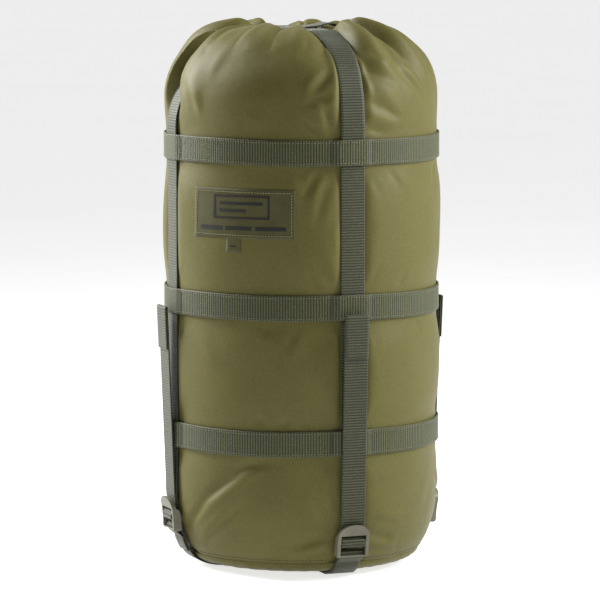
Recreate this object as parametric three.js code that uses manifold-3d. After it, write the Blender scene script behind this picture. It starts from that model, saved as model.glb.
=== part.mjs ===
// Compression sack: a round drawstring sack with three webbing bands, two straps that cross over the
// top and come down the four sides, a ladder lock low on each side and a webbing cross under the base.
// Millimetres, +Z up. The origin is the centre of the base, on the ground. The front strap faces -Y.
import * as THREE from "three";
import { mergeVertices } from "three/addons/utils/BufferGeometryUtils.js";
import Module from "manifold-3d";

const wasm = await Module();
wasm.setup();

// ---- Driving dimensions -------------------------------------------------------------------------
const GAP = 0.3; // clearance between pieces that touch
const WEB_W = 25; // webbing width
const WEB_T = 1.5; // webbing thickness
const LAYER = WEB_T + GAP; // one layer of webbing and its clearance
const FABRIC_T = 2; // fabric wall
const LATHE_STEPS = 36;

const SACK_R = 136; // outer radius of the filled wall
const SEAM_R = 110; // base seam
const SEAM_Z = 8.5;
const BASE_FLAT_R = 84; // flat part of the base panel
const BASE_Z = 2 * LAYER; // two layers of webbing lie under the base
const WALL_FULL_Z = 85; // the wall reaches its full radius here
const BAND_Z = { lower: 136, middle: 269, upper: 421 };

const DOME_Z = 455; // the shoulder starts to curve in here
const DOME_H = 85;
const DOME_POWER = 2.7;
const CREST_R = 62; // highest ring of the gathered top, where the straps bear
const HEM_R = 26; // gathered mouth, to the middle of its hem
const HEM_Z = 511;
const HEM_TUBE_R = 4;
const CHANNEL_R = 1.9; // tunnel in the hem
const CORD_R = 1.25;
const LOCK_R = 40; // cord lock's distance from the sack's axis
const LOCK_Z = 528.5;
const LOCK_TILT = 42; // it lies on the slope round the mouth
const LOCK_ANGLE = 135; // degrees from the front strap

const SIDES = [
  { name: "front", turn: 0, rise: 0 },
  { name: "right", turn: 90, rise: 8 },
  { name: "back", turn: 180, rise: 4 },
  { name: "left", turn: 270, rise: 15 },
]; // rise: how much higher a side's ladder lock sits than the front one

const ANCHOR_Z = 27; // front ladder lock's anchor bar
const ANCHOR_OFF = 5.6; // anchor bar's distance out from the wall
const BAR_R = 1.8;
const BAR_LENGTH = 29;
const MIDDLE_BAR = [2.6, 11]; // out and up from the anchor bar
const SPLIT_V = 34; // the webbing's loop through the lock ends here
const TAIL_TOP_Z = 263;
const TAIL_TOP_R = 147.5;
const TAIL_FOLD = 41; // end of the tail, folded back and sewn

const PATCH = { angle: -47, arc: 110, z: 361, height: 49, thick: 0.8 };
const TAB = { angle: -50, width: 16, height: 14, thick: 1 };

// ---- Colours ------------------------------------------------------------------------------------
const paint = (color, roughness, metalness = 0) =>
  new THREE.MeshStandardMaterial({ color, roughness, metalness });
const FABRIC = paint(0x6e6b42, 0.62);
const WEBBING = paint(0x565a3e, 0.8);
const PLASTIC = paint(0x7a7868, 0.5);
const LABEL = paint(0x6a6840, 0.7);
const CORD = paint(0x3c3d2a, 0.85);
const LOCK_PLASTIC = paint(0x4b4c3a, 0.45);
const STEEL = paint(0xb8bcc0, 0.3, 1);

// ---- Geometry helpers ---------------------------------------------------------------------------
const rad = THREE.MathUtils.degToRad;

// A solid turned about Z from a closed profile of [radius, height] points, anticlockwise.
function turned(profile) {
  const points = [...profile, profile[0]].map(([r, z]) => new THREE.Vector2(r, z));
  return new THREE.LatheGeometry(points, LATHE_STEPS).rotateX(Math.PI / 2);
}

// The offset of a path to one side.
function offset(path, distance) {
  return path.map((p, i) => {
    const before = path[Math.max(i - 1, 0)];
    const after = path[Math.min(i + 1, path.length - 1)];
    const along = new THREE.Vector2(after[0] - before[0], after[1] - before[1]).normalize();
    return [p[0] - along.y * distance, p[1] + along.x * distance];
  });
}

// A shape in the plane of [out, up], pulled to a width across it and centred on it, with out on -Y.
const OUT_UP_ACROSS = new THREE.Matrix4().makeBasis(
  new THREE.Vector3(0, -1, 0),
  new THREE.Vector3(0, 0, 1),
  new THREE.Vector3(-1, 0, 0),
);
function slab(shape, width) {
  return new THREE.ExtrudeGeometry(shape, { depth: width, bevelEnabled: false })
    .translate(0, 0, -width / 2)
    .applyMatrix4(OUT_UP_ACROSS);
}
const outline = (points) => new THREE.Shape(points.map(([x, y]) => new THREE.Vector2(x, y)));

// Webbing that follows a path of [out, up] points.
function ribbon(path) {
  const edge = [...offset(path, -WEB_T / 2), ...offset(path, WEB_T / 2).reverse()];
  return slab(outline(edge), WEB_W);
}

const smooth = (points, steps) =>
  new THREE.SplineCurve(points.map(([x, y]) => new THREE.Vector2(x, y)))
    .getPoints(steps)
    .map((p) => [p.x, p.y]);

function solid(geometry) {
  const bare = geometry.clone();
  bare.deleteAttribute("normal");
  bare.deleteAttribute("uv");
  const merged = mergeVertices(bare, 1e-4);
  return new wasm.Manifold(
    new wasm.Mesh({
      numProp: 3,
      vertProperties: merged.attributes.position.array,
      triVerts: new Uint32Array(merged.index.array),
    }),
  );
}

function geometryOf(manifold) {
  const mesh = manifold.getMesh();
  const made = new THREE.BufferGeometry();
  made.setAttribute("position", new THREE.BufferAttribute(mesh.vertProperties, 3));
  made.setIndex(new THREE.BufferAttribute(mesh.triVerts, 1));
  made.computeVertexNormals();
  return made;
}

const part = new THREE.Group();
function add(name, geometry, material, turn = 0) {
  const mesh = new THREE.Mesh(geometry, material);
  mesh.name = name;
  mesh.rotation.z = rad(turn);
  part.add(mesh);
}

// ---- Outer surface of the filled sack -----------------------------------------------------------
// A quarter ellipse from the base seam up to the full radius.
function wallRadius(z) {
  const t = THREE.MathUtils.clamp((z - SEAM_Z) / (WALL_FULL_Z - SEAM_Z), 0, 1);
  return SEAM_R + (SACK_R - SEAM_R) * Math.sqrt(1 - (1 - t) ** 2);
}

function domeHeight(r) {
  return DOME_Z + DOME_H * (1 - (r / SACK_R) ** DOME_POWER) ** (1 / DOME_POWER);
}

// The top dips from its crest to the gathered mouth.
function topHeight(r) {
  if (r >= CREST_R) return domeHeight(r);
  const inner = HEM_R + HEM_TUBE_R;
  const s = THREE.MathUtils.smoothstep(r, inner, CREST_R);
  return HEM_Z + (domeHeight(CREST_R) - HEM_Z) * s;
}

// ---- Fabric -------------------------------------------------------------------------------------
function basePanel() {
  const edge = [];
  for (let i = 0; i <= 5; i++) {
    const a = (i / 5) * (Math.PI / 2) * 0.98;
    const r = BASE_FLAT_R + (SEAM_R - GAP - BASE_FLAT_R) * Math.sin(a);
    edge.push([r, SEAM_Z - (SEAM_Z - BASE_Z) * Math.cos(a)]);
  }
  const inside = edge.map(([r, z]) => [r - FABRIC_T * 0.6, z + FABRIC_T]).reverse();
  const profile = [[0, BASE_Z], ...edge, ...inside, [0, BASE_Z + FABRIC_T]];
  const points = profile.map(([r, z]) => new THREE.Vector2(r, z));
  return new THREE.LatheGeometry(points, LATHE_STEPS).rotateX(Math.PI / 2);
}

function lowerWall() {
  const outside = [];
  const steps = 6;
  for (let i = 0; i <= steps; i++) {
    const a = (i / steps) * (Math.PI / 2);
    outside.push([
      SEAM_R + (SACK_R - SEAM_R) * Math.sin(a),
      WALL_FULL_Z - (WALL_FULL_Z - SEAM_Z) * Math.cos(a),
    ]);
  }
  outside.push([SACK_R, BAND_Z.lower - GAP / 2]);
  return turned([...outside, ...offset(outside, FABRIC_T).reverse()]);
}

function middleWall() {
  const low = BAND_Z.lower + GAP / 2;
  const high = BAND_Z.upper - GAP / 2;
  const inside = SACK_R - FABRIC_T;
  return turned([[SACK_R, low], [SACK_R, high], [inside, high], [inside, low]]);
}

function gatheredTop() {
  const outside = [[SACK_R, BAND_Z.upper + GAP / 2], [SACK_R, DOME_Z]];
  const shoulder = 7;
  for (let i = 1; i <= shoulder; i++) {
    const a = (i / shoulder) * (Math.PI / 2);
    const r = CREST_R + (SACK_R - CREST_R) * Math.cos(a) ** 0.75;
    outside.push([r, domeHeight(r)]);
  }
  const dip = 4;
  const mouth = HEM_R + HEM_TUBE_R + GAP;
  for (let i = 1; i <= dip; i++) {
    const r = CREST_R + (mouth - CREST_R) * (i / dip);
    outside.push([r, topHeight(r)]);
  }
  return turned([...outside, ...offset(outside, FABRIC_T).reverse()]);
}

// The hem is a tube with the drawcord's tunnel inside it, open where the cord's ends come out.
function torus(ringR, tubeR) {
  return new THREE.TorusGeometry(ringR, tubeR, 8, 28).translate(0, 0, HEM_Z);
}
// A round bar along +Y from one distance to another, then turned about Z.
function radialBar(radius, from, to, height, turn) {
  return new THREE.CylinderGeometry(radius, radius, to - from, 12)
    .translate(0, -(from + to) / 2, 0)
    .translate(0, 0, height)
    .rotateZ(rad(turn));
}

const STRAND_RISE = CORD_R + 0.1; // the two ends of the drawcord lie one above the other

// Stands a piece modelled round the origin where the cord lock is.
const placeLock = (geometry) =>
  geometry.rotateX(-rad(LOCK_TILT)).translate(0, -LOCK_R, LOCK_Z).rotateZ(rad(LOCK_ANGLE));

// A point [out, up] given along the cord lock's slope and away from it.
function onSlope(along, away) {
  const a = rad(LOCK_TILT);
  return [
    LOCK_R + along * Math.cos(a) - away * Math.sin(a),
    LOCK_Z + along * Math.sin(a) + away * Math.cos(a),
  ];
}

function mouthHem() {
  const exit = new THREE.BoxGeometry(5, 9, 9)
    .translate(0, -(HEM_R + 3), HEM_Z + 2)
    .rotateZ(rad(LOCK_ANGLE));
  return geometryOf(
    solid(torus(HEM_R, HEM_TUBE_R))
      .subtract(solid(torus(HEM_R, CHANNEL_R)))
      .subtract(solid(exit)),
  );
}

// A round cord along a path in the plane of [out, up], on the line of the cord lock.
function strand(path) {
  const curve = new THREE.CatmullRomCurve3(path.map(([out, up]) => new THREE.Vector3(0, -out, up)));
  const section = new THREE.Shape().absarc(0, 0, CORD_R, 0, Math.PI * 2);
  const geometry = new THREE.ExtrudeGeometry(section, {
    steps: 8,
    curveSegments: 4,
    extrudePath: curve,
    bevelEnabled: false,
  });
  return geometry.rotateZ(rad(LOCK_ANGLE));
}

function drawcord() {
  let cord = solid(torus(HEM_R, CORD_R));
  for (const side of [-1, 1]) {
    const away = side * STRAND_RISE;
    const path = [
      [HEM_R, HEM_Z + side * 0.4],
      [HEM_R + 3 - side * 0.5, HEM_Z + 4 + side * 0.9],
      onSlope(-9, away),
      onSlope(-5, away),
      onSlope(5, away),
      onSlope(13, away),
    ];
    cord = cord.add(solid(strand(path)));
  }
  const knot = placeLock(new THREE.SphereGeometry(3.2, 12, 8).translate(0, -14, 0));
  return geometryOf(cord.add(solid(knot)));
}

// ---- Cord lock: the plunger slides across the two strands ----------------------------------------
const LOCK = {
  barrel: [-11.5, 7.5], // ends along the plunger's axis
  bore: -9.5,
  depth: 11,
  height: 13,
  wall: 1.7,
  plunger: [-2.8, 13],
  slot: [-1.55, 4.55],
  hole: 1.55,
  slotRise: 2.95,
};

// An oval bar along X from one end to the other: depth across Y, height across Z.
function ovalBar(from, to, depth, height) {
  return new THREE.CylinderGeometry(0.5, 0.5, to - from, 20)
    .rotateZ(Math.PI / 2)
    .scale(1, depth, height)
    .translate((from + to) / 2, 0, 0);
}

function cordLockBarrel() {
  const { barrel, bore, depth, height, wall, hole, slotRise } = LOCK;
  const body = solid(ovalBar(...barrel, depth, height));
  const hollow = solid(ovalBar(bore, barrel[1] + 1, depth - 2 * wall, height - 2 * wall));
  const across = solid(new THREE.BoxGeometry(2 * hole, depth + 2, 2 * slotRise));
  return placeLock(geometryOf(body.subtract(hollow).subtract(across)));
}

function cordLockPlunger() {
  const { depth, height, wall, plunger, slot, slotRise } = LOCK;
  const less = 2 * (wall + GAP);
  const body = solid(ovalBar(...plunger, depth - less, height - less));
  const across = new THREE.BoxGeometry(slot[1] - slot[0], depth, 2 * slotRise);
  return placeLock(geometryOf(body.subtract(solid(across.translate((slot[0] + slot[1]) / 2, 0, 0)))));
}

function cordLockSpring() {
  const from = LOCK.bore + 0.55;
  const to = LOCK.plunger[0] - 0.55;
  const turns = 4;
  const coilR = 2.4;
  const points = [];
  for (let i = 0; i <= turns * 8; i++) {
    const a = (i / 8) * Math.PI * 2;
    const x = from + ((to - from) * i) / (turns * 8);
    points.push(new THREE.Vector3(x, coilR * Math.cos(a), coilR * Math.sin(a)));
  }
  const wire = new THREE.Shape().absarc(0, 0, 0.3, 0, Math.PI * 2);
  return placeLock(
    new THREE.ExtrudeGeometry(wire, {
      steps: turns * 8,
      curveSegments: 2,
      extrudePath: new THREE.CatmullRomCurve3(points),
      bevelEnabled: false,
    }),
  );
}

// ---- Horizontal bands: they hug the wall and step out over the four straps -----------------------
function band(z) {
  const hug = SACK_R + 2 * GAP;
  const step = 2.1;
  const flat = WEB_W / 2 + 1;
  const ramp = 7;
  const radiusAt = (angle) => {
    const fromStrap = Math.abs(((angle + 135) % 90) - 45);
    const arc = rad(fromStrap) * SACK_R;
    return hug + step * (1 - THREE.MathUtils.smoothstep(arc, flat, flat + ramp));
  };
  const angles = [];
  for (let quarter = 0; quarter < 360; quarter += 90) {
    for (const a of [-8.6, -7.1, -5.6, 0, 5.6, 7.1, 8.6]) angles.push(quarter + a);
    for (let a = 17; a <= 73; a += 8) angles.push(quarter + a);
  }
  const ring = (extra) =>
    angles.map((a) => {
      const r = radiusAt(a) + extra;
      return new THREE.Vector2(r * Math.cos(rad(a)), r * Math.sin(rad(a)));
    });
  const shape = new THREE.Shape(ring(WEB_T));
  shape.holes.push(new THREE.Path(ring(0)));
  const options = { depth: WEB_W, bevelEnabled: false };
  return new THREE.ExtrudeGeometry(shape, options).translate(0, 0, z - WEB_W / 2);
}

// ---- Straps over the top ------------------------------------------------------------------------
const STRAP_R = SACK_R + GAP + WEB_T / 2; // middle of a strap that lies on the wall

// Half of a strap, from the upper band to the middle of the top, lifted by a height at each radius.
function topHalf(lift) {
  const path = [[STRAP_R, BAND_Z.upper + GAP / 2], [STRAP_R, DOME_Z - 6]];
  const steps = 10;
  const clear = GAP + WEB_T / 2;
  for (let i = 1; i <= steps; i++) {
    const a = (i / steps) * (Math.PI / 2);
    const r = CREST_R + (SACK_R - CREST_R) * Math.cos(a) ** 0.75;
    const slope = (domeHeight(r - 0.1) - domeHeight(Math.min(r + 0.1, SACK_R))) / 0.2;
    const lean = Math.atan(slope);
    path.push([r + (clear + 0.5) * Math.sin(lean), domeHeight(r) + (clear + 0.5) * Math.cos(lean)]);
  }
  const level = path.at(-1)[1];
  for (const r of [52, 40, 27, 13.5, 0]) path.push([r, level + lift(r)]);
  return path;
}

function topStrap(liftPlus, liftMinus) {
  const plus = topHalf(liftPlus);
  const minus = topHalf(liftMinus).map(([r, z]) => [-r, z]).reverse();
  return ribbon([...plus, ...minus.slice(1)]);
}

// The left-right strap lies over the other one, and stands up a little beside it on the right.
const overCrossing = (r) => (r <= 27 ? LAYER : 0);
const SLACK = { 52: 0.8, 40: 2.6, 27: 6.2, 13.5: 3, 0: LAYER };

// ---- Each side: load strap, ladder lock, the webbing's loop through it, and the tail -------------
// A ladder lock stands along the wall behind it, so it leans out by the wall's own slope.
function anchorOf(side) {
  const z = ANCHOR_Z + side.rise;
  const lean = Math.atan((wallRadius(z + 40) - wallRadius(z)) / 40);
  const r = wallRadius(z) + ANCHOR_OFF;
  const place = ([w, v]) => [
    r + w * Math.cos(lean) + v * Math.sin(lean),
    z - w * Math.sin(lean) + v * Math.cos(lean),
  ];
  return { r, z, lean, place };
}

const LOAD_W = -2.6; // the load strap passes behind the lock's bars
const TAIL_W = LOAD_W + LAYER; // and the tail comes back up in front of it

function strapLoop(side) {
  const loop = smooth(
    [
      [LOAD_W, 20], [-2.5, 14], [-1.6, 9.8], [0.6, 7.6], [3.2, 7.5], [5.2, 9.2],
      [5.5, 12], [4.2, 14.8], [1.6, 16.6], [-0.3, 18.4], [TAIL_W, 21],
    ],
    18,
  );
  const path = [[LOAD_W, SPLIT_V], ...loop, [TAIL_W, SPLIT_V]];
  return ribbon(path.map(anchorOf(side).place));
}

function lowerLoadStrap(side) {
  const from = anchorOf(side).place([LOAD_W, SPLIT_V + 2 * GAP]);
  const top = BAND_Z.lower - GAP / 2;
  const reach = top - 12 - from[1];
  const path = [
    from,
    [from[0] + (STRAP_R - from[0]) * 0.5, from[1] + reach * 0.5],
    [STRAP_R, top - 12],
    [STRAP_R, top],
  ];
  return ribbon(path);
}

function upperLoadStrap() {
  return ribbon([[STRAP_R, BAND_Z.lower + GAP / 2], [STRAP_R, BAND_Z.upper - GAP / 2]]);
}

// The tail runs straight from the lock to its end, which is folded out and sewn back on itself.
function tail(side) {
  const from = anchorOf(side).place([TAIL_W, SPLIT_V + 2 * GAP]);
  const to = [TAIL_TOP_R, TAIL_TOP_Z - 1];
  const along = new THREE.Vector2(to[0] - from[0], to[1] - from[1]).normalize();
  const turn = (WEB_T + 0.4) / 2;
  const at = (up, out) => [
    to[0] + along.x * up + along.y * out,
    to[1] + along.y * up - along.x * out,
  ];
  const fold = [];
  for (let i = 0; i <= 6; i++) {
    const a = (i / 6) * Math.PI;
    fold.push(at(turn * Math.sin(a), turn * (1 - Math.cos(a))));
  }
  return ribbon([from, ...fold, at(-TAIL_FOLD, 2 * turn)]);
}

// Seen from the front the lock is a frame with a round-ended tab; seen from the side its rails are
// deep and the tab flares out. Where the two agree is the lock, and three bars cross its window.
function ladderLock(side) {
  const rail = 16.5;
  const window = 13.1;
  const tabLow = 19.5;
  const tabHigh = 31;
  const front = new THREE.Shape();
  front.moveTo(-rail, -1).absarc(-rail + 3, -1, 3, Math.PI, Math.PI * 1.5);
  front.absarc(rail - 3, -1, 3, -Math.PI / 2, 0);
  front.lineTo(rail, tabLow).absellipse(0, tabLow, rail, tabHigh - tabLow, 0, Math.PI);
  const frontSolid = solid(
    new THREE.ExtrudeGeometry(front, { depth: 20, bevelEnabled: false, curveSegments: 6 })
      .translate(0, 0, -10)
      .rotateX(Math.PI / 2),
  );
  const profile = [
    [-1.2, -3.6], [3.6, -3.6], [5.4, -2.8], [5.9, 0], [5.2, 10], [5.3, tabLow], [5.9, 26],
    [7, tabHigh], [6.2, tabHigh + 0.4], [4.9, tabHigh], [2.6, 26], [1.2, tabLow + 0.5],
    [1, tabLow - 0.5], [-1.6, tabLow - 2], [-2.6, 15], [-2.7, 5], [-2.7, -1.5], [-2.2, -3],
  ];
  const sideSolid = solid(slab(outline(profile), 2 * rail + 2));
  const opening = solid(new THREE.BoxGeometry(2 * window, 20, tabLow + 6).translate(0, 0, tabLow / 2 - 3));
  const bar = (radius, [w, v]) =>
    solid(
      new THREE.CylinderGeometry(radius, radius, BAR_LENGTH, 10)
        .rotateZ(Math.PI / 2)
        .translate(0, -w, v),
    );
  const lock = frontSolid
    .intersect(sideSolid)
    .subtract(opening)
    .add(bar(BAR_R, [0, 0]))
    .add(bar(BAR_R, MIDDLE_BAR))
    .add(bar(0.85, [4.9, -1.6]));
  const { r, z, lean } = anchorOf(side);
  return geometryOf(lock).rotateX(lean).translate(0, -r, z);
}

// ---- Webbing under the base: up each side, over the lock's anchor bar and sewn back ---------------
function baseHalf(side) {
  const { z, place } = anchorOf(side);
  const wall = [];
  for (let up = 12; up < z - 7; up += 3.5) wall.push([wallRadius(up), up]);
  const climb = [
    [BASE_FLAT_R - 4, WEB_T / 2],
    [92, 1.4],
    [101, 2.9],
    [107.5, 4.8],
    [113, 7.3],
    ...offset(wall, -1.4),
  ];
  const turnR = BAR_R + GAP + WEB_T / 2;
  const loop = [];
  for (let i = 0; i <= 5; i++) {
    const a = rad(156 - 31 * i);
    loop.push(place([turnR * Math.cos(a), turnR * Math.sin(a)]));
  }
  const up = smooth([...climb, ...loop], 26);
  const run = offset(climb, -LAYER - 0.1).reverse();
  const sewn = smooth([loop.at(-1), place([2.3, -3.6]), ...run.slice(0, 4)], 8).slice(1);
  return { up, sewn };
}

// The middle of one of the two lies on top of the other.
const CROSSING = [[-21, 0], [-14.5, LAYER], [14.5, LAYER], [21, 0]];
function baseWebbing(side, opposite, crossing) {
  const near = baseHalf(side);
  const far = baseHalf(opposite);
  const flip = ([r, z]) => [-r, z];
  return ribbon([
    ...far.sewn.map(flip).reverse(),
    ...far.up.map(flip).reverse(),
    ...crossing.map(([r, lift]) => [r, WEB_T / 2 + lift]),
    ...near.up,
    ...near.sewn,
  ]);
}

// ---- Label patch and its folded tab --------------------------------------------------------------
function curvedPlate(innerR, thick, centreDegrees, arc, low, height, steps) {
  const half = arc / innerR / 2;
  const middle = rad(centreDegrees - 90);
  const at = (r, i) => {
    const a = middle - half + (2 * half * i) / steps;
    return new THREE.Vector2(r * Math.cos(a), r * Math.sin(a));
  };
  const points = [];
  for (let i = 0; i <= steps; i++) points.push(at(innerR + thick, i));
  for (let i = steps; i >= 0; i--) points.push(at(innerR, i));
  return new THREE.ExtrudeGeometry(new THREE.Shape(points), { depth: height, bevelEnabled: false })
    .translate(0, 0, low);
}

// ---- Assembly -----------------------------------------------------------------------------------
add("base_panel", basePanel(), FABRIC);
add("sack_wall_lower", lowerWall(), FABRIC);
add("sack_wall_middle", middleWall(), FABRIC);
add("sack_top", gatheredTop(), FABRIC);
add("mouth_hem", mouthHem(), FABRIC);
add("drawcord", drawcord(), CORD);
add("cord_lock_barrel", cordLockBarrel(), LOCK_PLASTIC);
add("cord_lock_plunger", cordLockPlunger(), LOCK_PLASTIC);
add("cord_lock_spring", cordLockSpring(), STEEL);

for (const [level, z] of Object.entries(BAND_Z)) add(`band_${level}`, band(z), WEBBING);

const [front, right, back, left] = SIDES;
add("base_webbing_front_back", baseWebbing(front, back, []), WEBBING);
add("base_webbing_left_right", baseWebbing(right, left, CROSSING), WEBBING, right.turn);
add("top_strap_front_back", topStrap(() => 0, () => 0), WEBBING);
add("top_strap_left_right", topStrap((r) => SLACK[r], overCrossing), WEBBING, right.turn);

for (const side of SIDES) {
  add(`load_strap_upper_${side.name}`, upperLoadStrap(), WEBBING, side.turn);
  add(`load_strap_lower_${side.name}`, lowerLoadStrap(side), WEBBING, side.turn);
  add(`strap_loop_${side.name}`, strapLoop(side), WEBBING, side.turn);
  add(`strap_tail_${side.name}`, tail(side), WEBBING, side.turn);
  add(`ladder_lock_${side.name}`, ladderLock(side), PLASTIC, side.turn);
}

const patchLow = PATCH.z - PATCH.height / 2;
const onWall = SACK_R + GAP;
add(
  "label_patch",
  curvedPlate(onWall, PATCH.thick, PATCH.angle, PATCH.arc, patchLow, PATCH.height, 14),
  LABEL,
);
add(
  "size_tab",
  curvedPlate(onWall, TAB.thick, TAB.angle, TAB.width, patchLow - TAB.height - GAP, TAB.height, 2),
  LABEL,
);

export default part;
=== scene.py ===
"""A filled compression sack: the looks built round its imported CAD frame.

Lengths in this script are millimetres until a mesh is made, and the frame is in metres.
A place on the sack is [out, up]: the distance from the sack's axis, and the height. An azimuth is in
degrees from the front strap, positive towards the right one.
"""

import math

import bmesh
import bpy
import numpy as np
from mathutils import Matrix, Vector
from mathutils.bvhtree import BVHTree


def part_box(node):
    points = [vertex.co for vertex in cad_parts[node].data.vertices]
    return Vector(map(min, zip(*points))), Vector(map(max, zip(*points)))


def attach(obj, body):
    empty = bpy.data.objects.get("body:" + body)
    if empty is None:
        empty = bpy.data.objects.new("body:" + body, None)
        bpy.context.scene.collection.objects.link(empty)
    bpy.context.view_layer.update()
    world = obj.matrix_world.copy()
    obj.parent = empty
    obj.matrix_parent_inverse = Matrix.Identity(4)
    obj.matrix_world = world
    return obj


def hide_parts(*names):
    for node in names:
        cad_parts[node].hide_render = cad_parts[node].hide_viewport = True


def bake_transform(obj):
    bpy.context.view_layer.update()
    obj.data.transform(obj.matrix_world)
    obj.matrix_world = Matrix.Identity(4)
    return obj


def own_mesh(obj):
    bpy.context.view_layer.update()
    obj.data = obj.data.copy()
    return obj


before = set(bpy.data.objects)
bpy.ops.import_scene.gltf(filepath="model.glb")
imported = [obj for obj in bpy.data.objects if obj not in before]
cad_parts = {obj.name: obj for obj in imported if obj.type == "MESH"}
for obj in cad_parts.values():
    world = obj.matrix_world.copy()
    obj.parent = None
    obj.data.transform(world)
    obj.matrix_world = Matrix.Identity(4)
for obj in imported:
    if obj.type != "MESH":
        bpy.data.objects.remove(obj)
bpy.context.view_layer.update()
MM = 0.001

# ---- Sizes read from the frame ----


def box_mm(node):
    """The lowest and highest corner of a CAD node, in millimetres."""
    low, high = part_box(node)
    return np.array(low) / MM, np.array(high) / MM


SACK_R = box_mm("sack_wall_middle")[1][0]
BAND_Z = {name: sum(box_mm("band_" + name))[2] / 2 for name in ("lower", "middle", "upper")}
WALL_LOW, WALL_HIGH = BAND_Z["lower"], BAND_Z["upper"]

# ---- Other sizes ----
WEB_W = 25.0
WEB_T = 1.5
GAP = 0.3  # between layers of webbing
LAYER = WEB_T + GAP
RIB = 2.7  # pitch of the webbing's ribs
COLUMN = 2.1  # and of its warp columns

SEAM = (117.4, 14.5)  # where the fabric meets the base panel
SEAM_R, SEAM_Z = 110.0, 8.5  # the foot of the curve that the wall rises in
BASE_FLAT_R = 84.0
BASE_Z = 2 * LAYER
WALL_FULL_Z = 85.0  # the wall is at its full radius from here
DOME_Z = 455.0  # up to here, where the top curves in
DOME_H = 85.0
DOME_POWER = 2.7
CREST_R = 62.0
HEM_R, HEM_Z = 26.0, 511.0

CLOTH_T = 0.8
HELD_R, FREE_R = 135.4, 135.5  # the fabric's radius under a band, and away from one
BULGE = 2.2  # how far it stands out half way between two bands
STRAP_R = SACK_R + GAP + WEB_T / 2

# Each side's azimuth, and how much higher its lock sits than the front one.
SIDES = {"front": (0, 0.0), "right": (90, 8.0), "back": (180, 4.0), "left": (270, 15.0)}
ANCHOR_Z, ANCHOR_OFF = 27.0, 5.6
BAR_R = 1.8
LOAD_W = -2.6  # how far out from its lock's anchor bar a load strap leaves it
TAIL_W = LOAD_W + LAYER
LOCK_EXIT = 34  # how far above the bar both straps run straight
TAIL_TOP_Z, TAIL_TOP_R, TAIL_FOLD = 263.0, 147.5, 41.0
TAIL_SPLIT_Z = 112.0  # below here a tail turns with its lock, above it runs out with its end

# ---- Camera: the first thing set, from the front and a little to the left ----
CAMERA_AZIMUTH = -21.4
CAMERA_FAR, CAMERA_UP = 4.0, 0.705
AIM_Z = 0.263
AIM_RIGHT = -0.0015
LENS, SENSOR = 240, 36


def toward(azimuth):
    """The unit vector from the sack's axis at an azimuth."""
    a = math.radians(azimuth)
    return Vector((math.sin(a), -math.cos(a), 0))


def across(azimuth):
    """The unit vector to the right of someone who stands at an azimuth and looks at the sack."""
    a = math.radians(azimuth)
    return Vector((math.cos(a), math.sin(a), 0))


def aimed(data, azimuth, far, up, aim):
    """A camera or lamp at an azimuth, a distance out and a height, turned to a point."""
    made = bpy.data.objects.new(data.name, data)
    bpy.context.scene.collection.objects.link(made)
    made.location = toward(azimuth) * far + Vector((0, 0, up))
    made.rotation_mode = "QUATERNION"
    made.rotation_quaternion = (aim - made.location).to_track_quat("-Z", "Y")
    return made


def make_camera():
    data = bpy.data.cameras.new("camera")
    data.lens = LENS
    data.sensor_width = SENSOR
    aim = Vector((0, 0, AIM_Z)) + across(CAMERA_AZIMUTH) * AIM_RIGHT
    bpy.context.scene.camera = aimed(data, CAMERA_AZIMUTH, CAMERA_FAR, CAMERA_UP, aim)


make_camera()
bpy.context.scene.view_settings.view_transform = "Standard"

# ---- Materials ----


def srgb(r, g, b):
    """A colour picked as 0 to 255 on a screen, as linear light."""
    return tuple(((c / 255 + 0.055) / 1.055) ** 2.4 for c in (r, g, b)) + (1,)


def set_inputs(node, **values):
    """Sets a node's inputs by their names, with _ for a space."""
    for name, value in values.items():
        node.inputs[name.replace("_", " ")].default_value = value


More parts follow.
